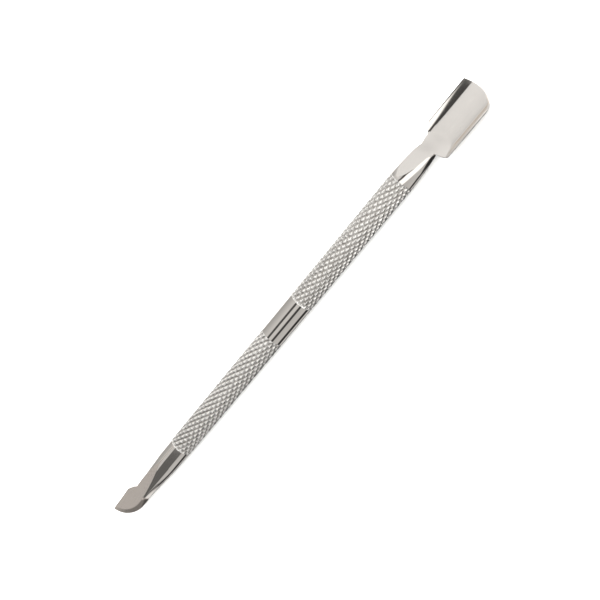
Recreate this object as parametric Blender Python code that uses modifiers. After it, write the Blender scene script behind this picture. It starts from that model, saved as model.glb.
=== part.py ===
"""Cuticle pusher: a knurled steel handle with a spoon pusher at one end and a scraper blade at the other.

Metres, +Z up. +X runs along the tool towards the spoon and +Z points out of the spoon's open side.
The origin is halfway along the tool, on the surface that the handle lies on.
"""
import math

import bmesh
import bpy

MM = 0.001

# Handle: one bar with two knurled grips and a smooth band between them
BAR_DIAMETER = 5.5 * MM
KNURL_RISE = 0.05 * MM
KNURL_CREST_ROWS = 30
BLADE_GRIP_LENGTH = 36.3 * MM
BAND_LENGTH = 10.7 * MM
SPOON_GRIP_LENGTH = 34.9 * MM
GRIP_CHAMFER = 0.25 * MM

# Fit of the two working ends: a round tang in a drilled socket
TANG_DIAMETER = 3.0 * MM
TANG_LENGTH = 9.0 * MM
TANG_CHAMFER = 0.4 * MM
FIT_GAP = 0.3 * MM
DRILL_POINT_HALF_ANGLE = math.radians(59)

# Spoon end
NECK_LENGTH = 8.7 * MM
NECK_END_DIAMETER = 4.0 * MM
NECK_TAPER_POWER = 1.6
NECK_FLAT_START = 0.6 * MM
NECK_FLAT_SLOPE = 0.23
NECK_FLAT_LIMIT = math.radians(75)
SPOON_LENGTH = 15.65 * MM
SPOON_WIDTH = 9.2 * MM
SPOON_FLOOR_WIDTH = 6.1 * MM
SPOON_DEPTH = 1.25 * MM
SPOON_WALL = 0.75 * MM
SPOON_RIM = 0.45 * MM
SPOON_RIM_BELOW_AXIS = 0.15 * MM
SPOON_SIDE_POWER = 1.15
SPOON_END_SAG = 2.0 * MM
SPOON_END_SKEW = 1.0 * MM
SHOULDER_LENGTH = 1.6 * MM
SHOULDER_STAGGER = 1.3 * MM
FLOOR_RUN_IN = 4.0 * MM

# Blade end
SHANK_LENGTH = 16.6 * MM
SHANK_STEP = 0.1 * MM
SHANK_END_DIAMETER = 4.1 * MM
SHANK_FLAT_START = 5.5 * MM
SHANK_STUB_LENGTH = 0.65 * MM
SHANK_STUB_STEP = 0.4 * MM
BLADE_LENGTH = 10.0 * MM
BLADE_ROOT_THICKNESS = 1.5 * MM
BLADE_TIP_THICKNESS = 0.8 * MM
BLADE_BACK_RISE = 3.4 * MM
BLADE_TIP_RISE = 3.3 * MM
BLADE_BACK_START = 2.6 * MM
BLADE_TIP_DROP = 0.3 * MM
BLADE_HEEL_START = 2.6 * MM
BLADE_HEEL_DROP = 2.5 * MM
BLADE_TONGUE_SHARE = 0.6
EDGE_RADIUS = 10.0 * MM
EDGE_BEVEL_WIDTH = 0.9 * MM
EDGE_LAND = 0.2 * MM

# Facets
TURNED_STEPS = 48
ARC_STEPS = 16
UNDERSIDE_STEPS = 24
HALF_FLOOR_STEPS = 3
FOOT_STEPS = 3
NECK_STEPS = 8
SHOULDER_STEPS = 10
BOWL_STEPS = 10
SHARP_ANGLE = math.radians(30)
MERGE = 0.01 * MM

# Places worked out from the sizes above
HANDLE_LENGTH = BLADE_GRIP_LENGTH + BAND_LENGTH + SPOON_GRIP_LENGTH
OVERALL_LENGTH = BLADE_LENGTH + SHANK_LENGTH + HANDLE_LENGTH + NECK_LENGTH + SPOON_LENGTH
BLADE_TIP_X = -OVERALL_LENGTH / 2
BLADE_ROOT_X = BLADE_TIP_X + BLADE_LENGTH
HANDLE_BLADE_X = BLADE_ROOT_X + SHANK_LENGTH
HANDLE_SPOON_X = HANDLE_BLADE_X + HANDLE_LENGTH
SPOON_ROOT_X = HANDLE_SPOON_X + NECK_LENGTH
SPOON_END_X = SPOON_ROOT_X + SPOON_LENGTH
BAR_RADIUS = BAR_DIAMETER / 2
TANG_RADIUS = TANG_DIAMETER / 2
KNURL_RADIUS = BAR_RADIUS + KNURL_RISE
# The handle lies on two neighbouring rows of knurl crests.
CREST_FLAT = math.cos(math.pi / KNURL_CREST_ROWS)
AXIS_HEIGHT = KNURL_RADIUS * CREST_FLAT


def clear_scene():
    for obj in list(bpy.data.objects):
        bpy.data.objects.remove(obj, do_unlink=True)


def make_collection(name):
    collection = bpy.data.collections.new(name)
    bpy.context.scene.collection.children.link(collection)
    return collection


def steel(name, colour, roughness):
    material = bpy.data.materials.new(name)
    material.use_nodes = True
    shader = material.node_tree.nodes["Principled BSDF"]
    shader.inputs["Base Color"].default_value = (*colour, 1.0)
    shader.inputs["Metallic"].default_value = 1.0
    shader.inputs["Roughness"].default_value = roughness
    return material


def shade(obj, material):
    obj.data.materials.append(material)
    obj.data.shade_smooth()
    obj.data.set_sharp_from_angle(angle=SHARP_ANGLE)


def as_cutter(obj):
    obj.hide_render = True
    obj.display_type = "WIRE"
    return obj


def turned(name, profile, collection, along_x=True, steps=TURNED_STEPS):
    """Turns a profile of (radius, distance along the axis) points, with a facet square to each axis."""
    start = math.pi / steps
    mesh = bpy.data.meshes.new(name)
    vertices = [(r * math.cos(start), r * math.sin(start), along) for r, along in profile]
    edges = [(i, i + 1) for i in range(len(profile) - 1)]
    mesh.from_pydata(vertices, edges, [])
    obj = bpy.data.objects.new(name, mesh)
    collection.objects.link(obj)
    screw = obj.modifiers.new("turn", "SCREW")
    screw.steps = steps
    screw.render_steps = steps
    screw.use_merge_vertices = True
    screw.merge_threshold = MERGE
    if along_x:
        obj.rotation_euler = (0.0, math.pi / 2, 0.0)
        obj.location = (0.0, 0.0, AXIS_HEIGHT)
    return obj


def plate(name, outline, half_thickness, collection, upright=False):
    """Extrudes a flat outline both ways; an upright one lies in the XZ plane."""
    curve = bpy.data.curves.new(name, "CURVE")
    curve.dimensions = "2D"
    curve.fill_mode = "BOTH"
    curve.extrude = half_thickness
    spline = curve.splines.new("POLY")
    spline.points.add(len(outline) - 1)
    for point, (u, v) in zip(spline.points, outline):
        point.co = (u, v, 0.0, 1.0)
    spline.use_cyclic_u = True
    source = bpy.data.objects.new(name + "_outline", curve)
    collection.objects.link(source)
    if upright:
        source.rotation_euler = (math.pi / 2, 0.0, 0.0)
    source.location = (0.0, 0.0, AXIS_HEIGHT)
    bpy.context.view_layer.update()
    evaluated = source.evaluated_get(bpy.context.evaluated_depsgraph_get())
    mesh = bpy.data.meshes.new_from_object(evaluated)
    mesh.name = name
    merge_doubles(mesh)
    obj = bpy.data.objects.new(name, mesh)
    obj.matrix_world = source.matrix_world
    collection.objects.link(obj)
    bpy.data.objects.remove(source, do_unlink=True)
    return obj


def merge_doubles(mesh):
    bm = bmesh.new()
    bm.from_mesh(mesh)
    bmesh.ops.remove_doubles(bm, verts=bm.verts, dist=MERGE)
    bmesh.ops.recalc_face_normals(bm, faces=bm.faces)
    bm.to_mesh(mesh)
    bm.free()


def combine(obj, other, operation):
    boolean = obj.modifiers.new(operation.lower() + "_" + other.name, "BOOLEAN")
    boolean.operation = operation
    boolean.object = other


def clamp(value):
    return min(max(value, 0.0), 1.0)


def smoothstep(value):
    t = clamp(value)
    return t * t * (3.0 - 2.0 * t)


def lerp(a, b, t):
    return a + (b - a) * t


# Handle

def make_handle(parts):
    socket_radius = (TANG_RADIUS + FIT_GAP) / CREST_FLAT
    socket_depth = TANG_LENGTH + FIT_GAP
    drill_point = socket_radius / math.tan(DRILL_POINT_HALF_ANGLE)
    band_start = HANDLE_BLADE_X + BLADE_GRIP_LENGTH
    band_end = band_start + BAND_LENGTH
    profile = [
        (0.0, HANDLE_SPOON_X - socket_depth - drill_point),
        (socket_radius, HANDLE_SPOON_X - socket_depth),
        (socket_radius, HANDLE_SPOON_X),
        (BAR_RADIUS, HANDLE_SPOON_X),
        (KNURL_RADIUS, HANDLE_SPOON_X - GRIP_CHAMFER),
        (KNURL_RADIUS, band_end + GRIP_CHAMFER),
        (BAR_RADIUS, band_end),
        (BAR_RADIUS, band_start),
        (KNURL_RADIUS, band_start - GRIP_CHAMFER),
        (KNURL_RADIUS, HANDLE_BLADE_X + GRIP_CHAMFER),
        (BAR_RADIUS, HANDLE_BLADE_X),
        (socket_radius, HANDLE_BLADE_X),
        (socket_radius, HANDLE_BLADE_X + socket_depth),
        (0.0, HANDLE_BLADE_X + socket_depth + drill_point),
    ]
    handle = turned("knurled_handle", profile, parts, steps=KNURL_CREST_ROWS)
    shade(handle, steel("knurled_bar_steel", (0.70, 0.68, 0.66), 0.30))


# Blade end

def edge_arc(start, end):
    """The cutting edge's circle through two points, and its points from one to the other."""
    middle = ((start[0] + end[0]) / 2, (start[1] + end[1]) / 2)
    chord = (end[0] - start[0], end[1] - start[1])
    length = math.hypot(*chord)
    inward = (-chord[1] / length, chord[0] / length)
    reach = math.sqrt(EDGE_RADIUS ** 2 - (length / 2) ** 2)
    centre = (middle[0] + inward[0] * reach, middle[1] + inward[1] * reach)
    first = math.atan2(start[1] - centre[1], start[0] - centre[0])
    last = math.atan2(end[1] - centre[1], end[0] - centre[0])
    if last < first:
        last += 2 * math.pi
    points = []
    for i in range(ARC_STEPS + 1):
        angle = lerp(first, last, i / ARC_STEPS)
        x = centre[0] + EDGE_RADIUS * math.cos(angle)
        y = centre[1] + EDGE_RADIUS * math.sin(angle)
        points.append((x, y))
    return centre, points


def make_blade(parts, cutters):
    shoulder_x = HANDLE_BLADE_X - FIT_GAP
    shank_radius = BAR_RADIUS - SHANK_STEP
    shank_end_radius = SHANK_END_DIAMETER / 2
    stub_x = BLADE_ROOT_X - SHANK_STUB_LENGTH
    profile = [
        (0.0, HANDLE_BLADE_X + TANG_LENGTH),
        (TANG_RADIUS - TANG_CHAMFER, HANDLE_BLADE_X + TANG_LENGTH),
        (TANG_RADIUS, HANDLE_BLADE_X + TANG_LENGTH - TANG_CHAMFER),
        (TANG_RADIUS, shoulder_x),
        (shank_radius, shoulder_x),
        (shank_radius, HANDLE_BLADE_X - SHANK_FLAT_START),
        (shank_end_radius, BLADE_ROOT_X),
        (shank_end_radius - SHANK_STUB_STEP, stub_x),
        (0.0, stub_x),
    ]
    blade = turned("scraper_blade", profile, parts)

    tip = (BLADE_TIP_X, BLADE_TIP_RISE - BLADE_TIP_DROP)
    heel = (BLADE_ROOT_X - BLADE_HEEL_START, -BLADE_HEEL_DROP)
    centre, edge = edge_arc(tip, heel)
    tongue = shank_end_radius * BLADE_TONGUE_SHARE
    outline = edge + [
        (BLADE_ROOT_X, -shank_end_radius),
        (BLADE_ROOT_X + BLADE_HEEL_START, -tongue),
        (BLADE_ROOT_X + BLADE_HEEL_START, tongue),
        (BLADE_ROOT_X, shank_end_radius),
        (BLADE_ROOT_X - BLADE_BACK_START, BLADE_BACK_RISE),
        (BLADE_TIP_X + BLADE_TIP_DROP, BLADE_TIP_RISE),
    ]
    stock = as_cutter(plate("blade_stock", outline, BLADE_ROOT_THICKNESS, cutters))

    # The bevel is a cone round the cutting edge's own centre, down to a thin land.
    top = BLADE_TIP_THICKNESS / 2
    slope = (BLADE_TIP_THICKNESS - EDGE_LAND) / EDGE_BEVEL_WIDTH
    run_out = BLADE_ROOT_THICKNESS + BLADE_TIP_THICKNESS
    cone = turned("edge_bevel", [
        (EDGE_RADIUS - EDGE_BEVEL_WIDTH - run_out, top + run_out * slope),
        (EDGE_RADIUS + run_out, top + run_out * slope),
        (EDGE_RADIUS + run_out, top - (EDGE_BEVEL_WIDTH + run_out) * slope),
        (EDGE_RADIUS - EDGE_BEVEL_WIDTH - run_out, top + run_out * slope),
    ], cutters, along_x=False)
    as_cutter(cone)
    cone.location = (centre[0], centre[1], AXIS_HEIGHT)
    combine(stock, cone, "DIFFERENCE")
    combine(blade, stock, "UNION")

    # Two ground flats thin the round shank down to the blade.
    for side, name in ((1, "upper_flat"), (-1, "lower_flat")):
        outline = [
            (HANDLE_BLADE_X - SHANK_FLAT_START, side * shank_radius),
            (BLADE_ROOT_X, side * BLADE_ROOT_THICKNESS / 2),
            (BLADE_TIP_X - BAR_DIAMETER, side * BLADE_TIP_THICKNESS / 2),
            (BLADE_TIP_X - BAR_DIAMETER, side * BAR_DIAMETER),
            (HANDLE_BLADE_X - SHANK_FLAT_START, side * BAR_DIAMETER),
        ]
        flat = plate(name, outline, BAR_DIAMETER, cutters, upright=True)
        combine(blade, as_cutter(flat), "DIFFERENCE")
    shade(blade, steel("ground_blade_steel", (0.52, 0.49, 0.47), 0.38))


# Spoon end

def bar_section(radius, flat_height):
    """A round bar with a flat on top: the underside from -Y to +Y, then the top back to -Y."""
    lift = math.asin(min(flat_height / radius, math.sin(NECK_FLAT_LIMIT)))
    underside = []
    for i in range(UNDERSIDE_STEPS + 1):
        angle = lerp(math.pi - lift, 2 * math.pi + lift, i / UNDERSIDE_STEPS)
        underside.append((radius * math.cos(angle), radius * math.sin(angle)))
    half = radius * math.cos(lift)
    top = []
    for fraction in top_fractions():
        y = half * fraction
        top.append((y, min(flat_height, math.sqrt(radius ** 2 - y ** 2))))
    return underside, top


def top_fractions():
    """Where the top's points lie across it, from +Y to -Y, between the two edges."""
    inner_half = SPOON_WIDTH / 2 - SPOON_RIM
    floor_half = SPOON_FLOOR_WIDTH / 2
    side = [inner_half]
    for i in range(FOOT_STEPS):
        side.append(lerp(inner_half, floor_half, (i + 1) / FOOT_STEPS))
    for i in range(1, HALF_FLOOR_STEPS):
        side.append(lerp(floor_half, 0.0, i / HALF_FLOOR_STEPS))
    half = [value / (SPOON_WIDTH / 2) for value in side]
    return half + [0.0] + [-value for value in reversed(half)]


def spoon_floor_height():
    return -SPOON_RIM_BELOW_AXIS - SPOON_DEPTH


def dish_height(y):
    """Height of the dish over its floor: level in the middle, with upturned sides."""
    floor_half = SPOON_FLOOR_WIDTH / 2
    inner_half = SPOON_WIDTH / 2 - SPOON_RIM
    rise = max(abs(y) - floor_half, 0.0) / (inner_half - floor_half)
    return SPOON_DEPTH * min(rise, 1.0) ** SPOON_SIDE_POWER


def dish_section(wall):
    """The spoon: a shallow trough of even wall, with its rim square across."""
    floor = spoon_floor_height()
    half = SPOON_WIDTH / 2
    underside = []
    for i in range(UNDERSIDE_STEPS + 1):
        y = half * -math.cos(math.pi * i / UNDERSIDE_STEPS)
        shrunk = y * (half - SPOON_RIM) / half
        low = floor - wall + (SPOON_DEPTH + wall) * (dish_height(shrunk) / SPOON_DEPTH)
        underside.append((y, low))
    top = [(half * f, floor + dish_height(half * f)) for f in top_fractions()]
    return underside, top


def spoon_section(x):
    """One section across the neck or the spoon, as (x, y, z) points round the axis."""
    taper = clamp((x - HANDLE_SPOON_X) / NECK_LENGTH) ** NECK_TAPER_POWER
    radius = lerp(BAR_RADIUS, NECK_END_DIAMETER / 2, taper)
    ramp = BAR_RADIUS - NECK_FLAT_SLOPE * max(x - HANDLE_SPOON_X - NECK_FLAT_START, 0.0)
    settled = smoothstep((x - SPOON_ROOT_X) / FLOOR_RUN_IN)
    floor = spoon_floor_height()
    level = lerp(ramp, floor, settled)
    bar_under, bar_top = bar_section(radius, max(level, 0.0))
    dish_under, dish_top = dish_section(SPOON_WALL)
    bar = bar_under + bar_top
    dish = dish_under + dish_top
    floor_half = SPOON_FLOOR_WIDTH / 2
    side_width = SPOON_WIDTH / 2 - floor_half
    points = []
    for (bar_y, bar_z), (dish_y, dish_z) in zip(bar, dish):
        start = SPOON_ROOT_X + (SHOULDER_STAGGER if dish_y > 0 else 0.0)
        spread = math.sin(math.pi / 2 * clamp((x - start) / SHOULDER_LENGTH))
        edge = smoothstep((abs(dish_y) - floor_half) / side_width)
        turn = lerp(settled, spread, edge)
        points.append((x, lerp(bar_y, dish_y, turn), lerp(bar_z, dish_z, turn)))
    return points


def spoon_end_x(y):
    """The spoon's end is an arc across its width, a little fuller towards +Y."""
    reach = SPOON_WIDTH / 2 + SPOON_END_SKEW
    return SPOON_END_X - SPOON_END_SAG * ((y - SPOON_END_SKEW) / reach) ** 2


def loft(name, rings, collection):
    bm = bmesh.new()
    rows = [[bm.verts.new(point) for point in ring] for ring in rings]
    count = len(rows[0])
    for first, second in zip(rows, rows[1:]):
        for i in range(count):
            j = (i + 1) % count
            bm.faces.new((first[i], first[j], second[j], second[i]))
    bm.faces.new(list(reversed(rows[0])))
    bm.faces.new(rows[-1])
    bmesh.ops.recalc_face_normals(bm, faces=bm.faces)
    mesh = bpy.data.meshes.new(name)
    bm.to_mesh(mesh)
    bm.free()
    obj = bpy.data.objects.new(name, mesh)
    collection.objects.link(obj)
    return obj


def make_spoon(parts):
    shoulder_x = HANDLE_SPOON_X + FIT_GAP
    first = spoon_section(shoulder_x)
    tang = [
        (HANDLE_SPOON_X - TANG_LENGTH, TANG_RADIUS - TANG_CHAMFER),
        (HANDLE_SPOON_X - TANG_LENGTH + TANG_CHAMFER, TANG_RADIUS),
        (shoulder_x, TANG_RADIUS),
    ]
    rings = []
    for x, radius in tang:
        ring = []
        for _, y, z in first:
            size = math.hypot(y, z)
            ring.append((x, y / size * radius, z / size * radius))
        rings.append(ring)
    rings.append(first)
    for i in range(1, NECK_STEPS + 1):
        rings.append(spoon_section(lerp(shoulder_x, SPOON_ROOT_X, i / NECK_STEPS)))
    shoulder_end_x = SPOON_ROOT_X + SHOULDER_LENGTH + SHOULDER_STAGGER
    for i in range(1, SHOULDER_STEPS + 1):
        rings.append(spoon_section(lerp(SPOON_ROOT_X, shoulder_end_x, i / SHOULDER_STEPS)))
    for i in range(1, BOWL_STEPS + 1):
        fraction = i / BOWL_STEPS
        ring = []
        for _, y, z in spoon_section(lerp(shoulder_end_x, SPOON_END_X, fraction)):
            ring.append((lerp(shoulder_end_x, spoon_end_x(y), fraction), y, z))
        rings.append(ring)
    spoon = loft("spoon_pusher", rings, parts)
    spoon.location = (0.0, 0.0, AXIS_HEIGHT)
    shade(spoon, steel("satin_spoon_steel", (0.74, 0.72, 0.69), 0.28))


def main():
    clear_scene()
    parts = make_collection("cuticle_pusher")
    cutters = make_collection("cutters")
    make_handle(parts)
    make_blade(parts, cutters)
    make_spoon(parts)


main()
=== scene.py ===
import math

import bmesh
import bpy
import numpy as np
from mathutils import Matrix, Vector


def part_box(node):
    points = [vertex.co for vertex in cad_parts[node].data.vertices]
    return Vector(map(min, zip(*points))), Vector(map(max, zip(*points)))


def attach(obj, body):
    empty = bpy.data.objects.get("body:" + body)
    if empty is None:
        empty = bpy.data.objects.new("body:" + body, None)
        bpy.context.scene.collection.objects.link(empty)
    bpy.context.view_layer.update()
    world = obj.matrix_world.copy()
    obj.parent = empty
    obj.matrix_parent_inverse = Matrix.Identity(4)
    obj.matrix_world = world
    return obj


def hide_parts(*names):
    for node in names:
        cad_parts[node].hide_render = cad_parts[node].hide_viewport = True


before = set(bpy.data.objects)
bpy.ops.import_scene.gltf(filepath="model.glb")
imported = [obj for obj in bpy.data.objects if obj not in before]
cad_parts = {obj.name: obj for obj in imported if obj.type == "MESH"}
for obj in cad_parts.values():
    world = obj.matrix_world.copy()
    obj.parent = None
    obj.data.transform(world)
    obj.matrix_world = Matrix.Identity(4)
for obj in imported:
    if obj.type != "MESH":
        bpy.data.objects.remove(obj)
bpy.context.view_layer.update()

mm = 0.001
weld = 0.002 * mm    # points closer than this become one
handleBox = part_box("knurled_handle")
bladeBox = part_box("scraper_blade")
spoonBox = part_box("spoon_pusher")

# Stations along the tool, read off the CAD boxes, in mm
handleStart = handleBox[0].x / mm
handleEnd = handleBox[1].x / mm
bladeTip = bladeBox[0].x / mm
spoonTip = spoonBox[1].x / mm
axisHeight = (handleBox[0].z + handleBox[1].z) / 2 / mm


def hexColour(code):
    channels = [int(code[i:i + 2], 16) / 255 for i in (0, 2, 4)]
    linear = [c / 12.92 if c <= 0.04045 else ((c + 0.055) / 1.055) ** 2.4 for c in channels]
    return (*linear, 1.0)


def addNode(tree, kind, links=None, **settings):
    node = tree.nodes.new(kind)
    for name, value in settings.items():
        setattr(node, name, value)
    for socket, source in (links or {}).items():
        if isinstance(source, bpy.types.NodeSocket):
            tree.links.new(source, node.inputs[socket])
        else:
            node.inputs[socket].default_value = source
    return node


def clamp(value):
    return min(max(value, 0.0), 1.0)


def smooth(value):
    t = clamp(value)
    return t * t * (3 - 2 * t)


def lerp(a, b, t):
    return a + (b - a) * t


def newMaterial(name):
    material = bpy.data.materials.new(name)
    material.use_nodes = True
    return material, material.node_tree, material.node_tree.nodes["Principled BSDF"]


def meshPiece(name, points, faces, ground=None):
    mesh = bpy.data.meshes.new(name)
    mesh.from_pydata([Vector(p) * mm for p in points], [], faces)
    if ground:
        mesh.attributes.new("ground", "FLOAT", "POINT").data.foreach_set("value", ground)
    bm = bmesh.new()
    bm.from_mesh(mesh)
    bmesh.ops.remove_doubles(bm, verts=bm.verts, dist=weld)
    bmesh.ops.recalc_face_normals(bm, faces=bm.faces)
    bm.to_mesh(mesh)
    bm.free()
    piece = bpy.data.objects.new(name, mesh)
    bpy.context.scene.collection.objects.link(piece)
    return piece


# Materials

# A noise texture's values lie mostly between these two.
noiseLow, noiseHigh = 0.3, 0.7

# Drawn or turned stainless, buffed bright: crisp reflections with the faintest turning haze.
polish = {
    "colour": "e7e1da",
    "roughness": 0.05,
    "haze": 0.03,
    "marksAlong": 7.2,      # turning marks per mm; they run round the bar, so they are short along x
    "marksAcross": 0.54,
    "markDepth": 0.02,
    "markStrength": 0.04,
}


def makePolishedSteel():
    material, tree, shader = newMaterial("buffedStainlessSteel")
    shader.inputs["Metallic"].default_value = 1.0
    shader.inputs["Base Color"].default_value = hexColour(polish["colour"])
    place = addNode(tree, "ShaderNodeTexCoord")
    perMetre = [polish[axis] / mm for axis in ("marksAlong", "marksAcross", "marksAcross")]
    marks = addNode(tree, "ShaderNodeMapping", {"Vector": place.outputs["Object"], "Scale": perMetre})
    haze = addNode(tree, "ShaderNodeTexNoise", {"Vector": marks.outputs[0], "Scale": 1.0, "Detail": 3.0})
    spread = addNode(tree, "ShaderNodeMapRange", {
        "Value": haze.outputs["Fac"], "From Min": noiseLow, "From Max": noiseHigh,
        "To Min": polish["roughness"] - polish["haze"] / 2, "To Max": polish["roughness"] + polish["haze"]})
    tree.links.new(spread.outputs[0], shader.inputs["Roughness"])
    bump = addNode(tree, "ShaderNodeBump", {
        "Height": haze.outputs["Fac"], "Strength": polish["markStrength"],
        "Distance": polish["markDepth"] * mm})
    tree.links.new(bump.outputs[0], shader.inputs["Normal"])
    return material


# Rolled diamond knurl on the same bar: buffed crests with a painted highlight, unevenly worn, duller in the
# grooves and painted darker there as shade.
knurlFinishAndPaintedLight = {
    # The crest colour is lightened as a painted highlight; the groove colour is painted shade.
    "crest": "f9f6f1",
    "grooveShade": "948d86",
    "crestRoughness": 0.10,
    "grooveRoughness": 0.32,
    "wearPerMm": 1.5,
    "wear": 1.1,            # how far wear shifts the finish between crest and groove
    "paintedShadePower": 1.8,       # power that keeps the painted shade low in the grooves
    "nickDepth": 0.12,
    "nickStrength": 0.6,
}


def makeKnurledSteel():
    material, tree, shader = newMaterial("knurlSteelWithPaintedLightAndShade")
    shader.inputs["Metallic"].default_value = 1.0
    depth = addNode(tree, "ShaderNodeAttribute", attribute_name="grooveDepth")
    place = addNode(tree, "ShaderNodeTexCoord")
    wear = addNode(tree, "ShaderNodeTexNoise", {
        "Vector": place.outputs["Object"], "Scale": knurlFinishAndPaintedLight["wearPerMm"] / mm, "Detail": 3.0})
    uneven = addNode(tree, "ShaderNodeMath", {
        0: wear.outputs["Fac"], 1: knurlFinishAndPaintedLight["wear"], 2: -knurlFinishAndPaintedLight["wear"] / 2},
        operation="MULTIPLY_ADD")
    share = addNode(tree, "ShaderNodeMath", {
        0: depth.outputs["Fac"], 1: uneven.outputs[0]}, operation="ADD", use_clamp=True)
    # Groove depth, shifted by wear, mixes painted shade towards the groove bottoms and a painted highlight
    # towards the crests.
    paintedShadeMix = addNode(tree, "ShaderNodeMath", {
        0: share.outputs[0], 1: knurlFinishAndPaintedLight["paintedShadePower"]}, operation="POWER")
    colour = addNode(tree, "ShaderNodeMix", {
        "Factor": paintedShadeMix.outputs[0], "A": hexColour(knurlFinishAndPaintedLight["crest"]),
        "B": hexColour(knurlFinishAndPaintedLight["grooveShade"])}, data_type="RGBA")
    tree.links.new(colour.outputs["Result"], shader.inputs["Base Color"])
    rough = addNode(tree, "ShaderNodeMapRange", {
        "Value": share.outputs[0],
        "To Min": knurlFinishAndPaintedLight["crestRoughness"], "To Max": knurlFinishAndPaintedLight["grooveRoughness"]})
    tree.links.new(rough.outputs[0], shader.inputs["Roughness"])
    nicks = addNode(tree, "ShaderNodeBump", {
        "Height": wear.outputs["Fac"], "Strength": knurlFinishAndPaintedLight["nickStrength"],
        "Distance": knurlFinishAndPaintedLight["nickDepth"] * mm})
    tree.links.new(nicks.outputs[0], shader.inputs["Normal"])
    return material


# Stainless flats taken down on a fine belt: a soft satin with hairlines along the tool.
# Real hairlines are a few hundredths of a millimetre apart; these are 0.1 mm apart so that they show.
satin = {
    "hairlinesAcross": 9.9,     # per mm
    "hairlinesAlong": 0.385,
    "cloudsPerMm": 0.26,
    "cloudShare": 0.35,
    "darkest": 0.94,
    "lightest": 1.04,
    "roughnessSpread": 0.05,
    "lineDepth": 0.02,
    "lineStrength": 0.10,
}
spoonFinish = {"colour": "ebe6e0", "roughness": 0.24}
# The scraper's faces are ground on a coarser wheel and left duller, with a warm grey cast.
bladeFinish = {"colour": "dcd2c9", "roughness": 0.30}


def makeSatinSteel(name, finish):
    material, tree, shader = newMaterial(name)
    shader.inputs["Metallic"].default_value = 1.0
    place = addNode(tree, "ShaderNodeTexCoord")
    perMetre = [satin[axis] / mm for axis in ("hairlinesAlong", "hairlinesAcross", "hairlinesAcross")]
    lines = addNode(tree, "ShaderNodeMapping", {"Vector": place.outputs["Object"], "Scale": perMetre})
    grain = addNode(tree, "ShaderNodeTexNoise", {"Vector": lines.outputs[0], "Scale": 1.0, "Detail": 4.0})
    cloud = addNode(tree, "ShaderNodeTexNoise", {
        "Vector": place.outputs["Object"], "Scale": satin["cloudsPerMm"] / mm, "Detail": 3.0})
    both = addNode(tree, "ShaderNodeMix", {
        "Factor": satin["cloudShare"], "A": grain.outputs["Fac"], "B": cloud.outputs["Fac"]})
    tone = addNode(tree, "ShaderNodeMapRange", {
        "Value": both.outputs[0], "From Min": noiseLow, "From Max": noiseHigh,
        "To Min": satin["darkest"], "To Max": satin["lightest"]})
    tint = addNode(tree, "ShaderNodeVectorMath", {
        0: hexColour(finish["colour"])[:3], "Scale": tone.outputs[0]}, operation="SCALE")
    tree.links.new(tint.outputs[0], shader.inputs["Base Color"])
    rough = addNode(tree, "ShaderNodeMapRange", {
        "Value": both.outputs[0], "From Min": noiseLow, "From Max": noiseHigh,
        "To Min": finish["roughness"] - satin["roughnessSpread"],
        "To Max": finish["roughness"] + satin["roughnessSpread"]})
    tree.links.new(rough.outputs[0], shader.inputs["Roughness"])
    bump = addNode(tree, "ShaderNodeBump", {
        "Height": grain.outputs["Fac"], "Strength": satin["lineStrength"],
        "Distance": satin["lineDepth"] * mm})
    tree.links.new(bump.outputs[0], shader.inputs["Normal"])
    return material


polishedSteel = makePolishedSteel()
knurledSteel = makeKnurledSteel()
spoonSatin = makeSatinSteel("beltGroundSpoonSteel", spoonFinish)
bladeSatin = makeSatinSteel("wheelGroundBladeSteel", bladeFinish)
print("materials ready")


# Handle: one bar whose two grips are diamond knurled, as a Geometry Nodes tree

handle = {
    "barRadius": 2.75,
    "crestRadius": 2.79,
    "bladeGrip": 36.3,      # length of the grip next to the scraper
    "spoonGrip": 34.9,
    "starts": 15,           # helical grooves each way round the bar
    "bladePitch": 2.25,     # axial length of a diamond on each grip
    "spoonPitch": 2.07,
    "grooveDepth": 0.32,
    "crestFlat": 0.30,      # share of a diamond left flat on top
    "bladeBalance": 0.80,   # how deep the second set of grooves is against the first
    "spoonBalance": 0.96,
    "runOut": 0.45,         # length over which grooves fade at the ends of a grip
    "chamfer": 0.25,
    "rowsPerDiamond": 12,
    "aroundPerDiamond": 12,
}

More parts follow.
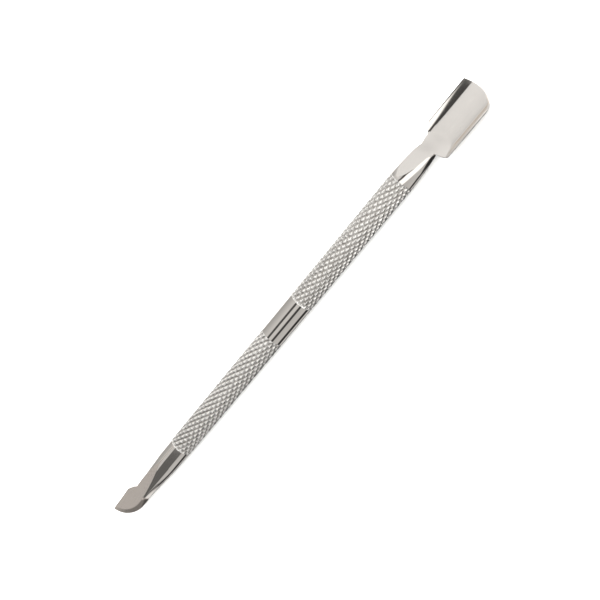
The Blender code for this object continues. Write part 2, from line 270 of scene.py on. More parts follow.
# What the tree works out, one maths or switch node to a line: its name, what it does, and what goes in.
# The names with capitals are the tree's own inputs; sheetX and sheetY run from -0.5 to 0.5.
knurlSteps = [
    # A sheet of rows along the bar and columns round it; its first and last rows close on the axis.
    ("bodyRows", "ADD", "Blade rows", "Spoon rows"),
    ("lastRow", "ADD", "bodyRows", 3.0),
    ("rowCount", "ADD", "lastRow", 1.0),
    ("columnCount", "ADD", "Around", 1.0),
    ("rowShare", "ADD", "sheetX", 0.5),
    ("rowPlace", "MULTIPLY", "rowShare", "lastRow"),
    ("row", "ROUND", "rowPlace"),
    ("turn", "ADD", "sheetY", 0.5),
    # Which half of the bar a row is on, and where along it
    ("fromBlade", "SUBTRACT", "row", 1.0),
    ("bladeShare", "DIVIDE", "fromBlade", "Blade rows"),
    ("afterCaps", "SUBTRACT", "row", 2.0),
    ("fromBand", "SUBTRACT", "afterCaps", "Blade rows"),
    ("spoonShare", "DIVIDE", "fromBand", "Spoon rows"),
    ("middleRow", "ADD", "Blade rows", 1.5),
    ("onSpoonSide", "GREATER_THAN", "row", "middleRow"),
    ("start", "SWITCH", "onSpoonSide", "Blade end", "Band end"),
    ("end", "SWITCH", "onSpoonSide", "Band start", "Spoon end"),
    ("share", "SWITCH", "onSpoonSide", "bladeShare", "spoonShare"),
    ("pitch", "SWITCH", "onSpoonSide", "Blade pitch", "Spoon pitch"),
    ("balance", "SWITCH", "onSpoonSide", "Blade balance", "Spoon balance"),
    ("gripLength", "SUBTRACT", "end", "start"),
    ("fromStart", "MULTIPLY", "share", "gripLength"),
    ("along", "ADD", "start", "fromStart"),
    # Two families of V grooves cross. A quarter step of turn puts two rows of crests on the table.
    ("steps", "MULTIPLY", "turn", "Starts"),
    ("roundBar", "ADD", "steps", 0.25),
    ("inGrip", "SUBTRACT", "along", "start"),
    ("forward", "DIVIDE", "inGrip", "pitch"),
    ("firstPhase", "SUBTRACT", "roundBar", "forward"),
    ("secondPhase", "ADD", "roundBar", "forward"),
    ("grooveShare", "SUBTRACT", 1.0, "Crest flat"),
]
# Each family runs from 1 on its groove line to 0 on the flat crest.
for family in ("first", "second"):
    knurlSteps += [
        (family + "Fold", "PINGPONG", family + "Phase", 0.5),
        (family + "Rise", "MULTIPLY", family + "Fold", 2.0),
        (family + "Wave", "SUBTRACT", 1.0, family + "Rise"),
        (family + "Slope", "SUBTRACT", family + "Wave", "Crest flat"),
        (family + "Groove", "DIVIDE", family + "Slope", "grooveShare"),
    ]
knurlSteps += [
    ("balanced", "MULTIPLY", "secondGroove", "balance"),
    ("deepest", "MAXIMUM", "firstGroove", "balanced"),
    # Grooves fade and the crests step down to the bar at both ends of a grip.
    ("toEnd", "SUBTRACT", "end", "along"),
    ("inset", "MINIMUM", "inGrip", "toEnd"),
    ("fade", "DIVIDE", "inset", "Run-out"),
    ("deep", "MULTIPLY", "deepest", "fade"),
    ("crestRise", "SUBTRACT", "Crest radius", "Bar radius"),
    ("bevel", "DIVIDE", "inset", "Chamfer"),
    ("rise", "MULTIPLY", "crestRise", "bevel"),
    ("crest", "ADD", "Bar radius", "rise"),
    ("cut", "MULTIPLY", "deep", "Groove depth"),
    ("cutRadius", "SUBTRACT", "crest", "cut"),
    ("pastFirst", "GREATER_THAN", "row", 0.5),
    ("lastBody", "SUBTRACT", "lastRow", 0.5),
    ("beforeLast", "LESS_THAN", "row", "lastBody"),
    ("isBody", "MULTIPLY", "pastFirst", "beforeLast"),
    ("radius", "MULTIPLY", "cutRadius", "isBody"),
    # Wrapped round the bar's axis, from straight down
    ("angle", "MULTIPLY", "turn", 2 * math.pi),
    ("sine", "SINE", "angle"),
    ("cosine", "COSINE", "angle"),
    ("across", "MULTIPLY", "radius", "sine"),
    ("drop", "MULTIPLY", "radius", "cosine"),
    ("height", "SUBTRACT", "Axis height", "drop"),
]
keptWithinOne = ("bladeShare", "spoonShare", "firstGroove", "secondGroove", "fade", "bevel")


def knurlTree():
    tree = bpy.data.node_groups.new("knurledBar", "GeometryNodeTree")
    sizes = ("Blade end", "Band start", "Band end", "Spoon end", "Bar radius", "Crest radius", "Axis height",
             "Groove depth", "Crest flat", "Blade pitch", "Spoon pitch", "Blade balance", "Spoon balance",
             "Run-out", "Chamfer")
    counts = ("Starts", "Blade rows", "Spoon rows", "Around")
    for names, kind in ((sizes, "Float"), (counts, "Int"), (("Finish",), "Material")):
        for name in names:
            tree.interface.new_socket(name, in_out="INPUT", socket_type="NodeSocket" + kind)
    tree.interface.new_socket("Geometry", in_out="OUTPUT", socket_type="NodeSocketGeometry")
    given = addNode(tree, "NodeGroupInput").outputs
    sheet = addNode(tree, "ShaderNodeSeparateXYZ", {0: addNode(tree, "GeometryNodeInputPosition").outputs[0]})

    worked = {name: given[name] for name in sizes + counts}
    worked |= {"sheetX": sheet.outputs[0], "sheetY": sheet.outputs[1]}
    for name, action, *sources in knurlSteps:
        inputs = {i: worked.get(source, source) for i, source in enumerate(sources)}
        if action == "SWITCH":
            node = addNode(tree, "GeometryNodeSwitch", input_type="FLOAT", links=inputs)
        else:
            node = addNode(tree, "ShaderNodeMath", inputs, operation=action, use_clamp=name in keptWithinOne)
        worked[name] = node.outputs[0]

    grid = addNode(tree, "GeometryNodeMeshGrid", {
        "Size X": 1.0, "Size Y": 1.0, "Vertices X": worked["rowCount"], "Vertices Y": worked["columnCount"]})
    wrapped = addNode(tree, "ShaderNodeCombineXYZ", {
        0: worked["along"], 1: worked["across"], 2: worked["height"]})
    scaled = addNode(tree, "ShaderNodeVectorMath", {0: wrapped.outputs[0], "Scale": mm}, operation="SCALE")
    stored = addNode(tree, "GeometryNodeStoreNamedAttribute", {
        "Geometry": grid.outputs["Mesh"], "Name": "grooveDepth", "Value": worked["deep"]},
        data_type="FLOAT", domain="POINT")
    bar = addNode(tree, "GeometryNodeSetPosition", {
        "Geometry": stored.outputs[0], "Position": scaled.outputs[0]})
    closed = addNode(tree, "GeometryNodeMergeByDistance", {"Geometry": bar.outputs[0], "Distance": weld})
    shaded = addNode(tree, "GeometryNodeSetShadeSmooth", {"Geometry": closed.outputs[0]})
    real = addNode(tree, "GeometryNodeRealizeInstances", {"Geometry": shaded.outputs[0]})
    finished = addNode(tree, "GeometryNodeSetMaterial", {
        "Geometry": real.outputs[0], "Material": given["Finish"]})
    addNode(tree, "NodeGroupOutput", {"Geometry": finished.outputs[0]})
    return tree


def runTree(name, tree, values):
    holder = bpy.data.objects.new(name + "Maker", bpy.data.meshes.new(name + "Maker"))
    bpy.context.scene.collection.objects.link(holder)
    modifier = holder.modifiers.new("make", "NODES")
    modifier.node_group = tree
    identifiers = {item.name: item.identifier for item in tree.interface.items_tree if item.in_out == "INPUT"}
    for label, value in values.items():
        modifier[identifiers[label]] = value
    bpy.context.view_layer.update()
    made = holder.evaluated_get(bpy.context.evaluated_depsgraph_get())
    mesh = bpy.data.meshes.new_from_object(made)
    mesh.name = name
    bpy.data.objects.remove(holder)
    piece = bpy.data.objects.new(name, mesh)
    bpy.context.scene.collection.objects.link(piece)
    return piece


def makeHandle():
    bandStart = handleStart + handle["bladeGrip"]
    bandEnd = handleEnd - handle["spoonGrip"]
    rows = handle["rowsPerDiamond"]
    piece = runTree("knurledHandle", knurlTree(), {
        "Blade end": handleStart, "Band start": bandStart, "Band end": bandEnd, "Spoon end": handleEnd,
        "Bar radius": handle["barRadius"], "Crest radius": handle["crestRadius"],
        "Groove depth": handle["grooveDepth"], "Crest flat": handle["crestFlat"],
        "Blade pitch": handle["bladePitch"], "Spoon pitch": handle["spoonPitch"],
        "Blade balance": handle["bladeBalance"], "Spoon balance": handle["spoonBalance"],
        "Run-out": handle["runOut"], "Chamfer": handle["chamfer"], "Axis height": axisHeight,
        "Starts": handle["starts"],
        "Blade rows": round(handle["bladeGrip"] / handle["bladePitch"] * rows),
        "Spoon rows": round(handle["spoonGrip"] / handle["spoonPitch"] * rows),
        "Around": handle["starts"] * handle["aroundPerDiamond"],
        "Finish": knurledSteel,
    })
    # The band between the grips keeps the bar's own finish; its ends and the bar's ends stay crisp.
    piece.data.materials.clear()
    for finish in (knurledSteel, polishedSteel):
        piece.data.materials.append(finish)
    bm = bmesh.new()
    bm.from_mesh(piece.data)
    bmesh.ops.recalc_face_normals(bm, faces=bm.faces)
    for face in bm.faces:
        face.material_index = int(bandStart < face.calc_center_median().x / mm < bandEnd)
    near = weld / mm / 2
    for edge in bm.edges:
        low, high = sorted(vertex.co.x / mm for vertex in edge.verts)
        edge.smooth = all(low < x - near or high > x + near
                          for x in (handleStart, bandStart, bandEnd, handleEnd))
    bm.to_mesh(piece.data)
    bm.free()
    return piece


knurledHandle = makeHandle()
print("handle ready:", len(knurledHandle.data.polygons), "faces")


# Spoon end: a neck that tapers from the bar with one flat, opening into a shallow squared trough

spoon = {
    "neckLength": 8.7,
    "barRadius": 2.75,
    "neckEndRadius": 2.0,
    "neckTaper": 1.6,
    "flatStart": 0.6,
    "flatSlope": 0.23,       # fall of the neck's flat per mm
    "flatLimit": 75.0,       # degrees round the bar at which the flat begins
    "length": 15.65,
    "width": 9.2,
    "floorWidth": 6.1,
    "floorBelowAxis": 1.30,
    "depth": 1.15,
    "wall": 0.75,
    "rim": 0.16,
    "edgeHeight": 0.40,      # upright outer edge below the rim
    "floorRise": 0.18,       # the floor is very slightly hollow across
    "sidePower": 1.25,       # how the walls curl up: 1 is straight
    "endSag": 2.0,           # how far the end's curve falls back at the near corner
    "endSkew": 1.0,          # its foremost point lies this far to the back side
    "shoulderLength": 1.6,
    "backStart": 1.4,        # the far wall starts this far past the near shoulder
    "backShoulder": 2.8,     # length of its round corner
    "backRound": 0.75,       # power that rounds that corner
    "backFlare": 2.5,        # the neck widens to the floor over this length before it
    "backLead": 1.3,         # the floor's far side runs down this much sooner
    "edgeRound": 0.30,       # outer strip of a shoulder that is rounded and polished
    "floorRunIn": 7.0,       # length over which the flat runs down to the floor
    "floorLead": 2.0,        # the neck starts down towards the floor this far before the spoon
    "edgeSoftness": 2,       # passes that round the ground edges
    "edgeRunIn": 1.0,        # length of neck over which the upright edge comes in
    "creaseAngle": 50,
    "jointGap": 0.02,
    "undersideSteps": 72,
    "rimSteps": (0.35, 0.7, 1.0),
    "wallSteps": 14,
    "halfFloorSteps": 10,
    "neckStations": 40,
    "shoulderStations": 40,
    "bowlStations": 50,
}
closeBy = 0.01    # heights nearer than this count as one


def dishHeight(y):
    floorHalf = spoon["floorWidth"] / 2
    innerHalf = spoon["width"] / 2 - spoon["rim"]
    hollow = spoon["floorRise"] * min(abs(y) / floorHalf, 1.0) ** 2
    climb = clamp((abs(y) - floorHalf) / (innerHalf - floorHalf)) ** spoon["sidePower"]
    return lerp(hollow, spoon["depth"], climb)


# Where the section's upper points lie, as shares of its half width, from one rim to the other
def topFractions():
    half = spoon["width"] / 2
    inner = half - spoon["rim"]
    floorHalf = spoon["floorWidth"] / 2
    side = [half - spoon["rim"] * t for t in spoon["rimSteps"]]
    side += [lerp(inner, floorHalf, (t + 1) / spoon["wallSteps"]) for t in range(spoon["wallSteps"])]
    side += [lerp(floorHalf, 0.0, t / spoon["halfFloorSteps"]) for t in range(1, spoon["halfFloorSteps"])]
    fractions = [value / half for value in side]
    return fractions + [0.0] + [-value for value in reversed(fractions)]


def barSection(radius, flatHeight):
    lift = math.asin(min(flatHeight / radius, math.sin(math.radians(spoon["flatLimit"]))))
    section = []
    for i in range(spoon["undersideSteps"] + 1):
        angle = lerp(math.pi - lift, 2 * math.pi + lift, i / spoon["undersideSteps"])
        section.append((radius * math.cos(angle), radius * math.sin(angle)))
    half = radius * math.cos(lift)
    for fraction in topFractions():
        y = half * fraction
        section.append((y, min(flatHeight, math.sqrt(max(radius ** 2 - y ** 2, 0.0)))))
    return section


def dishSection():
    half = spoon["width"] / 2
    floor = -spoon["floorBelowAxis"]
    rise = spoon["depth"] + spoon["wall"] - spoon["edgeHeight"]
    section = []
    for i in range(spoon["undersideSteps"] + 1):
        y = -half * math.cos(math.pi * i / spoon["undersideSteps"])
        climb = dishHeight(y * (half - spoon["rim"]) / half) / spoon["depth"]
        section.append((y, floor - spoon["wall"] + rise * climb))
    for fraction in topFractions():
        section.append((half * fraction, floor + dishHeight(half * fraction)))
    return section


# How far each side of the section has widened from the bar's half width to the spoon's: (near, far)
def shoulderSpread(run, barHalf):
    half, floorHalf = spoon["width"] / 2, spoon["floorWidth"] / 2
    near = math.sin(math.pi / 2 * clamp(run / spoon["shoulderLength"]))
    # The far side widens to the floor first, and then its wall starts with a round corner.
    flare = smooth((run - spoon["backStart"] + spoon["backFlare"]) / spoon["backFlare"])
    corner = math.sin(math.pi / 2 * clamp((run - spoon["backStart"]) / spoon["backShoulder"]))
    farHalf = lerp(barHalf, floorHalf, flare) + (half - floorHalf) * corner ** spoon["backRound"]
    return near, (farHalf - barHalf) / (half - barHalf)


# One ring of the spoon, underside first, and for each point 1 where it is on the satin ground face
def spoonSection(x):
    underside = spoon["undersideSteps"]
    run = x - (spoonTip - spoon["length"])
    half, floorHalf = spoon["width"] / 2, spoon["floorWidth"] / 2
    taper = clamp((x - handleEnd) / spoon["neckLength"]) ** spoon["neckTaper"]
    radius = lerp(spoon["barRadius"], spoon["neckEndRadius"], taper)
    ramp = spoon["barRadius"] - spoon["flatSlope"] * max(x - handleEnd - spoon["flatStart"], 0.0)

    def levelAt(y):
        lead = spoon["floorLead"] + spoon["backLead"] * smooth((y / floorHalf + 1) / 2)
        return lerp(ramp, -spoon["floorBelowAxis"], smooth((run + lead) / spoon["floorRunIn"]))

    bar = barSection(radius, max(levelAt(-floorHalf), 0.0))
    nearSpread, farSpread = shoulderSpread(run, bar[underside + 1][0])
    opened = smooth(run / (spoon["backStart"] + spoon["shoulderLength"]))
    section, ground = [], []
    for index, ((barY, barZ), (dishY, dishZ)) in enumerate(zip(bar, dishSection())):
        spread = farSpread if dishY > 0 else nearSpread
        if index > underside:
            # The shoulders are trimmed out of the trough, so its walls keep one profile from end to end.
            y = lerp(barY, dishY, spread)
            level, wall = levelAt(y), dishHeight(y) - spoon["floorBelowAxis"]
            z = max(min(barZ, level), wall)
            rounded = abs(dishY) > half - spoon["edgeRound"] and 0 < spread < 1
            onFloor = abs(y) <= floorHalf + closeBy or wall < level + 2 * closeBy
            ground.append(float(onFloor and not rounded and level < min(barZ + closeBy, radius)))
        else:
            turn = lerp(opened, spread, smooth((abs(dishY) - floorHalf) / (half - floorHalf)))
            y = lerp(barY, dishY, turn)
            top = max(levelAt(y), dishHeight(y) - spoon["floorBelowAxis"])
            z = min(lerp(barZ, dishZ, turn), top - spoon["edgeHeight"] * clamp(run / spoon["edgeRunIn"] + 1))
            ground.append(0.0)
        section.append((y, z))
    return section, ground


def softenRing(ring, passes):
    points = np.array(ring)
    for _ in range(passes):
        points = 0.5 * points + 0.25 * (np.roll(points, 1, 0) + np.roll(points, -1, 0))
    return [tuple(p) for p in points]


def spoonEndX(y):
    reach = spoon["width"] / 2 + spoon["endSkew"]
    return spoonTip - spoon["endSag"] * ((y - spoon["endSkew"]) / reach) ** 2


def loftFaces(ringCount, pointCount):
    faces = []
    for near in range(0, (ringCount - 1) * pointCount, pointCount):
        far = near + pointCount
        for j in range(pointCount):
            k = (j + 1) % pointCount
            faces.append((near + j, near + k, far + k, far + j))
    faces.append(tuple(range(pointCount)))
    faces.append(tuple(range((ringCount - 1) * pointCount, ringCount * pointCount)))
    return faces


def makeSpoon():
    spoonRoot = spoonTip - spoon["length"]
    shoulderEnd = spoonRoot + spoon["backStart"] + spoon["backShoulder"]
    neckStart = handleEnd + spoon["jointGap"]
    stations = [lerp(neckStart, spoonRoot, i / spoon["neckStations"]) for i in range(spoon["neckStations"])]
    stations += [lerp(spoonRoot, shoulderEnd, i / spoon["shoulderStations"])
                 for i in range(spoon["shoulderStations"])]
    rings, ground = [], []
    for x in stations:
        section, finish = spoonSection(x)
        rings.append([(x, y, z) for y, z in softenRing(section, spoon["edgeSoftness"])])
        ground += finish
    for i in range(spoon["bowlStations"] + 1):
        share = i / spoon["bowlStations"]
        section, finish = spoonSection(lerp(shoulderEnd, spoonTip, share))
        section = softenRing(section, spoon["edgeSoftness"])
        rings.append([(lerp(shoulderEnd, spoonEndX(y), share), y, z) for y, z in section])
        ground += finish
    points = [(x, y, z + axisHeight) for ring in rings for x, y, z in ring]
    count = len(rings[0])
    piece = meshPiece("spoonPusher", points, loftFaces(len(rings), count), ground)
    piece.data.materials.append(polishedSteel)
    piece.data.materials.append(spoonSatin)
    marks = piece.data.attributes["ground"].data
    for face in piece.data.polygons:
        if len(face.vertices) < 5 and all(marks[v].value > 0.5 for v in face.vertices):
            face.material_index = 1
    piece.data.shade_smooth()
    piece.data.set_sharp_from_angle(angle=math.radians(spoon["creaseAngle"]))
    return piece


spoonPusher = makeSpoon()
print("spoon ready:", len(spoonPusher.data.polygons), "faces")


# Blade end: a round shank ground flat on two sides down to a thin scraper with one curved, bevelled edge

blade = {
    "length": 10.0,
    "shankRadius": 2.65,
    "shankEndRadius": 2.05,
    "flatStart": 5.4,        # from the handle to where the flats begin
    "tipThickness": 0.8,
    "backRise": 3.4,
    "tipRise": 3.3,
    "backStart": 2.6,
    "tipDrop": 0.12,
    "heelStart": 2.6,
    "heelDrop": 2.5,
    "edgeRadius": 10.0,
    "bevelWidth": 0.9,
    "edgeLand": 0.2,
    "steepestFlat": 80.0,    # degrees round the shank at which a flat begins
    "thinnest": 0.02,        # least width left to the bevel
    "rootBlend": 0.8,        # length over which the shank's section becomes the scraper's
    "blendLead": 0.5,
    "satinLead": 0.2,        # the satin runs this far past the root
    "flatUp": 0.975,         # on the shank it is where the surface faces up or down, and not sideways
    "flatAcross": 0.06,
    "creaseAngle": 18,
    "jointGap": 0.02,
    "wallSteps": 12,
    "faceSteps": 28,
    "bevelSteps": 8,
    "tipLand": 0.01,         # stations crowd together over the tip and over the root, where the outline turns
    "tipRun": 0.6,
    "crowding": 1.6,
    "beforeRoot": 0.6,
    "afterRoot": 0.4,
    "tipStations": 24,
    "bladeStations": 90,
    "rootStations": 24,
    "shankStations": 60,
}


# The cutting edge is an arc; its centre lies on the scraper's back side
def edgeCentre():
    start = Vector((bladeTip, blade["tipRise"] - blade["tipDrop"]))
    heel = Vector((bladeTip + blade["length"] - blade["heelStart"], -blade["heelDrop"]))
    chord = heel - start
    inward = Vector((-chord.y, chord.x)).normalized()
    return (start + heel) / 2 + inward * math.sqrt(blade["edgeRadius"] ** 2 - (chord.length / 2) ** 2)


def flatHeight(x, radius):
    # The wheel leaves the round shank gently and settles at the tip's thickness.
    start = handleStart - blade["flatStart"]
    return lerp(radius, blade["tipThickness"] / 2, smooth((start - x) / (start - bladeTip)))


# Upper half of the round shank with its flat, from the back round to the edge's side
def shankHalf(x):
    root = bladeTip + blade["length"]
    radius = lerp(blade["shankEndRadius"], blade["shankRadius"],
                  clamp((x - root) / (handleStart - blade["flatStart"] - root)))
    flat = flatHeight(x, radius)
    lift = math.asin(min(flat / radius, math.sin(math.radians(blade["steepestFlat"]))))
    walls, count = blade["wallSteps"], blade["faceSteps"] + blade["bevelSteps"]
    turns = [lift * k / walls for k in range(walls)]
    section = [(radius * math.cos(turn), radius * math.sin(turn)) for turn in turns]
    for k in range(count + 1):
        y = radius * math.cos(lift) * (1 - 2 * k / count)
        section.append((y, min(flat, math.sqrt(max(radius ** 2 - y ** 2, 0.0)))))
    return section + [(-radius * math.cos(turn), radius * math.sin(turn)) for turn in reversed(turns)]


# Where the scraper's back, the top of its bevel and its cutting edge lie at one station
def bladeOutline(x, centre):
    root = bladeTip + blade["length"]
    backX, heelX = root - blade["backStart"], root - blade["heelStart"]
    if x < bladeTip + blade["tipDrop"]:
        corner = clamp((x - bladeTip) / blade["tipDrop"])
        back = lerp(blade["tipRise"] - blade["tipDrop"], blade["tipRise"], corner)
    elif x < backX:
        back = lerp(blade["tipRise"], blade["backRise"], (x - bladeTip) / (backX - bladeTip))
    else:
        back = lerp(blade["backRise"], blade["shankEndRadius"], clamp((x - backX) / blade["backStart"]))
    reachX = x - centre.x
    if x < heelX:
        edge = centre.y - math.sqrt(max(blade["edgeRadius"] ** 2 - reachX ** 2, 0.0))
    else:
        edge = lerp(-blade["heelDrop"], -blade["shankEndRadius"], clamp((x - heelX) / blade["heelStart"]))
    inner = blade["edgeRadius"] - blade["bevelWidth"]
    crease = centre.y - math.sqrt(max(inner ** 2 - reachX ** 2, 0.0)) if abs(reachX) < inner else back
    return back, min(max(crease, edge + blade["thinnest"]), back - blade["thinnest"] / 2), edge


# Upper half of the flat scraper: back edge, face, bevel, cutting edge
def scraperHalf(x, centre):
    back, crease, edge = bladeOutline(x, centre)
    walls, facePoints, bevelPoints = blade["wallSteps"], blade["faceSteps"], blade["bevelSteps"]
    face, land = flatHeight(x, blade["shankEndRadius"]), blade["edgeLand"] / 2
    slope = (face - land) / blade["bevelWidth"]
    rows = [lerp(back, crease, k / facePoints) for k in range(facePoints)]
    rows += [lerp(crease, edge, k / bevelPoints) for k in range(bevelPoints + 1)]
    depths = [blade["edgeRadius"] - math.hypot(x - centre.x, y - centre.y) for y in rows]
    tops = [min(face, land + slope * max(depth, 0.0)) for depth in depths]
    section = [(back, tops[0] * k / walls) for k in range(walls)] + list(zip(rows, tops))
    return section + [(edge, tops[-1] * k / walls) for k in range(walls - 1, -1, -1)]


def bladeHalf(x, centre):
    turn = smooth((x - bladeTip - blade["length"] + blade["blendLead"]) / blade["rootBlend"])
    pairs = zip(scraperHalf(x, centre), shankHalf(x))
    return [(lerp(a[0], b[0], turn), lerp(a[1], b[1], turn)) for a, b in pairs]


def makeBlade():
    root = bladeTip + blade["length"]
    centre = edgeCentre()
    shankEnd = handleStart - blade["jointGap"]
    tip = bladeTip + blade["tipLand"]
    tipEnd, rootStart, rootEnd = tip + blade["tipRun"], root - blade["beforeRoot"], root + blade["afterRoot"]
    stations = []
    for start, end, steps, power in ((tip, tipEnd, "tipStations", blade["crowding"]),
                                     (tipEnd, rootStart, "bladeStations", 1),
                                     (rootStart, rootEnd, "rootStations", 1),
                                     (rootEnd, shankEnd, "shankStations", 1)):
        stations += [lerp(start, end, (i / blade[steps]) ** power) for i in range(blade[steps])]
    points = []
    for x in stations + [shankEnd]:
        half = bladeHalf(x, centre)
        ring = half + [(y, -z) for y, z in reversed(half[1:-1])]
        points += [(x, y, z + axisHeight) for y, z in ring]
    piece = meshPiece("scraperBlade", points, loftFaces(len(points) // len(ring), len(ring)))
    piece.data.materials.append(polishedSteel)
    piece.data.materials.append(bladeSatin)
    for face in piece.data.polygons:
        onFlat = abs(face.normal.z) > blade["flatUp"] and abs(face.normal.y) < blade["flatAcross"]
        if onFlat or face.center.x / mm < root + blade["satinLead"]:
            face.material_index = 1
    piece.data.shade_smooth()
    piece.data.set_sharp_from_angle(angle=math.radians(blade["creaseAngle"]))
    return piece


scraperBlade = makeBlade()
print("blade ready:", len(scraperBlade.data.polygons), "faces")


for piece, node, slot in (
    (knurledHandle, "knurled_handle", "knurled_bar_steel"),
    (spoonPusher, "spoon_pusher", "satin_spoon_steel"),
    (scraperBlade, "scraper_blade", "ground_blade_steel"),
):
    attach(piece, "root")
    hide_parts(node)


# Studio: pale floor, soft light from above, and a light tent that only the polished steel sees

studio = {
    "floorHalf": 9000.0,
    "floorColour": "f4f4f2",
    "floorRoughness": 0.9,
    "tentRadius": 120.0,
    "tentHalf": 350.0,          # length each way that is finely divided
    "tentStep": 2.5,
    "tentSteps": 240,           # round the tent
    "tentEnds": (500.0, 1000.0, 3000.0),
    "skyStrength": 2.6,
    "sunStrength": 1.5,
    "sunSpread": 60,            # degrees
    "sunTilt": (-18, 10, 0),
}

# Tent brightness by angle round the tool: degrees from straight up, positive towards the cutting edge's side
tentTones = [
    (-180, 0.30), (-165, 0.12), (-150, 0.12), (-140, 1.10), (-110, 1.20), (-100, 0.52), (-90, 0.44),
    (-77, 0.45), (-50, 0.55), (-27, 0.64), (-10, 0.70), (30, 0.70), (45, 0.66), (60, 0.56), (85, 0.58),
    (105, 0.62), (120, 0.62), (152, 0.72), (170, 0.60), (180, 0.30),
]
# and how it swells along the tool, by mm from its middle
tentSwell = [(-400, 0.4), (-300, 0.5), (-200, 0.95), (-46, 1.0), (120, 1.0), (200, 1.25), (400, 1.25)]

# Cards hung in the tent: tone, then (x, from angle, to angle) at stations along it, and how soft their edges
# are along x and round the tent. Later cards hang in front of earlier ones.
tentCards = [
    # brighter cloth over the two grips, falling dark low on the near side
    (1.35, [(-104, -94, -36), (-64, -94, -36)], 6, 12),
    (1.05, [(-104, -36, 92), (-64, -36, 92)], 6, 14),
    (0.20, [(-104, 108, 152), (-64, 108, 152)], 6, 10),
    (1.15, [(-36, -96, 34), (6, -96, 34)], 6, 12),
    (0.85, [(-36, 34, 84), (6, 34, 84)], 6, 12),
    (0.08, [(-36, 100, 154), (6, 100, 154)], 6, 8),
    # big soft card over the spoon
    (0.92, [(20, -46, -4), (80, -46, -4), (110, -62, -4), (3000, -62, -4)], 24, 22),
    (0.85, [(20, -100, -60), (65, -100, -60)], 12, 10),
    # lamp window over the neck, and its twin further out
    (1.45, [(6, 8, 52), (17, 19, 58), (28, 30, 72), (34, 36, 83), (39, 42, 97), (45, 45, 108), (50, 47, 118),
            (70, 60, 122)], 2, 3),
    (1.30, [(50, -4, 70), (3000, -4, 70)], 2, 4),
    # dark card beside it
    (0.07, [(10, 6, 13), (17, 8, 19), (25, 14, 28), (31, -6, 33), (34, -14, 36), (39, -16, 42), (45, -16, 45),
            (49, -16, 47)], 2, 4),
    # two dark flags over the band
    (0.08, [(-62, -2, 17), (-36, -2, 17)], 2, 4),
    (0.05, [(-62, 47, 66), (-36, 47, 66)], 2, 4),
    # bright cloth low beyond the shank, and the unlit end beyond the scraper
    (0.95, [(-165, 112, 200), (-150, 112, 200), (-142, 150, 200)], 4, 4),
    (0.60, [(-400, -90, -26), (-155, -90, -26)], 10, 8),
    (0.24, [(-700, -30, 100), (-290, -26, 101), (-200, -16, 101), (-152, -10, 101)], 3, 6),
    (0.14, [(-158, -10, 102), (-145, -1, 92), (-130, -1, 82), (-110, -1, 80)], 4, 3),
    # gap low on the near side
    (0.03, [(-400, 96, 102), (-152, 98, 105), (-146, 102, 118), (-141, 122, 146), (-136, 134, 160),
            (-130, 130, 160), (-113, 126, 156), (-57, 119, 149), (-43, 119, 149), (14, 135, 156),
            (27, 131, 156), (30, 136, 182), (34, 130, 215), (40, 121, 215), (47, 116, 215), (60, 116, 215),
            (75, 116, 150), (400, 116, 150)], 2, 3),
    # low light off the bench beyond the spoon's end
    (0.85, [(95, 165, 225), (3000, 165, 225)], 6, 6),
]


def tentTone(x, angle):
    tone = np.interp(angle, *zip(*tentTones)) * np.interp(x, *zip(*tentSwell))
    for level, stations, softX, softAngle in tentCards:
        xs, lows, highs = zip(*stations)
        low, high = np.interp(x, xs, lows), np.interp(x, xs, highs)
        within = [np.minimum(turn - low, high - turn) / softAngle for turn in (angle, angle + 360)]
        along = np.minimum(x - xs[0], xs[-1] - x) / softX
        cover = np.clip(np.minimum(np.maximum(*within), along) + 0.5, 0, 1)
        tone = lerp(tone, level, cover)
    return tone


def makeTent():
    fine = np.arange(-studio["tentHalf"], studio["tentHalf"] + studio["tentStep"], studio["tentStep"])
    ends = np.array(studio["tentEnds"])
    xs = np.concatenate((-ends[::-1], fine, ends))
    angles = np.linspace(-180, 180, studio["tentSteps"] + 1)
    x, angle = (grid.ravel() for grid in np.meshgrid(xs, angles, indexing="ij"))
    turn = np.radians(angle)
    radius = studio["tentRadius"]
    points = np.column_stack((x, -radius * np.sin(turn), axisHeight + radius * np.cos(turn))) * mm
    corners = np.arange(len(x)).reshape(len(xs), len(angles))
    quads = np.stack((corners[:-1, :-1], corners[:-1, 1:], corners[1:, 1:], corners[1:, :-1]), -1)
    mesh = bpy.data.meshes.new("lightTent")
    mesh.from_pydata(points.tolist(), [], quads.reshape(-1, 4).tolist())
    mesh.attributes.new("tone", "FLOAT", "POINT").data.foreach_set("value", tentTone(x, angle))
    tent = bpy.data.objects.new("lightTent", mesh)
    bpy.context.scene.collection.objects.link(tent)
    for rays in ("camera", "diffuse", "shadow", "transmission", "volume_scatter"):
        setattr(tent, "visible_" + rays, False)
    material = bpy.data.materials.new("tentCloth")
    material.use_nodes = True
    tree = material.node_tree
    tree.nodes.remove(tree.nodes["Principled BSDF"])
    tone = addNode(tree, "ShaderNodeAttribute", attribute_name="tone")
    light = addNode(tree, "ShaderNodeEmission", {
        "Color": hexColour("ffffff"), "Strength": tone.outputs["Fac"]})
    tree.links.new(light.outputs[0], tree.nodes["Material Output"].inputs["Surface"])
    mesh.materials.append(material)


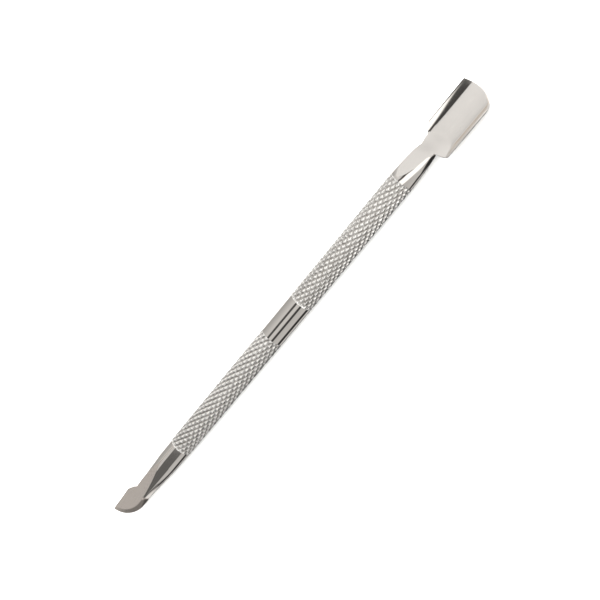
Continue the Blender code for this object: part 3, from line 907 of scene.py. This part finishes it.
def makeFloor():
    half = studio["floorHalf"]
    corners = [Vector((x * half, y * half, 0)) * mm for x, y in ((-1, -1), (1, -1), (1, 1), (-1, 1))]
    mesh = bpy.data.meshes.new("floor")
    mesh.from_pydata(corners, [], [(0, 1, 2, 3)])
    floor = bpy.data.objects.new("floor", mesh)
    bpy.context.scene.collection.objects.link(floor)
    material, tree, shader = newMaterial("paleFloor")
    shader.inputs["Base Color"].default_value = hexColour(studio["floorColour"])
    shader.inputs["Roughness"].default_value = studio["floorRoughness"]
    floor.data.materials.append(material)
    floor.visible_glossy = False    # the steel sees the tent instead, so the floor can stay bright


def makeLight():
    lamp = bpy.data.lights.new("overheadLight", "SUN")
    lamp.energy = studio["sunStrength"]
    lamp.angle = math.radians(studio["sunSpread"])
    lamp.specular_factor = 0.0
    light = bpy.data.objects.new("overheadLight", lamp)
    light.rotation_euler = [math.radians(angle) for angle in studio["sunTilt"]]
    bpy.context.scene.collection.objects.link(light)
    light.visible_glossy = False
    world = bpy.data.worlds.new("studio")
    world.use_nodes = True
    world.node_tree.nodes["Background"].inputs["Color"].default_value = hexColour("ffffff")
    world.node_tree.nodes["Background"].inputs["Strength"].default_value = studio["skyStrength"]
    bpy.context.scene.world = world


# The view looks down from the spoon's end and the cutting edge's side, turned so that the tool runs up to the
# right. Angles are degrees.
view = {
    "lean": 22.0,
    "roll": 33.0,
    "turn": 50.29,
    "aim": (7.205, 0.401, 3.060),
    "distance": 250.0,
    "lens": 69.12,
    "sensor": 36.0,
    "nearest": 10.0,
    "farthest": 100000.0,
}


def makeCamera():
    lean, roll, turn = (math.radians(view[name]) for name in ("lean", "roll", "turn"))
    toCamera = Vector((math.sin(lean), -math.cos(lean) * math.sin(roll), math.cos(lean) * math.cos(roll)))
    alongTool = Vector((math.cos(lean), math.sin(lean) * math.sin(roll), -math.sin(lean) * math.cos(roll)))
    acrossTool = Vector((0, math.cos(roll), math.sin(roll)))
    right = alongTool * math.cos(turn) - acrossTool * math.sin(turn)
    up = alongTool * math.sin(turn) + acrossTool * math.cos(turn)
    data = bpy.data.cameras.new("camera")
    data.sensor_width = view["sensor"]
    data.lens = view["lens"]
    data.clip_start = view["nearest"] * mm
    data.clip_end = view["farthest"] * mm
    camera = bpy.data.objects.new("camera", data)
    matrix = Matrix((right, up, toCamera)).transposed().to_4x4()
    matrix.translation = (Vector(view["aim"]) + toCamera * view["distance"]) * mm
    camera.matrix_world = matrix
    bpy.context.scene.collection.objects.link(camera)
    bpy.context.scene.camera = camera


makeTent()
makeFloor()
makeLight()
makeCamera()
bpy.context.scene.view_settings.view_transform = "Standard"
print("studio ready")
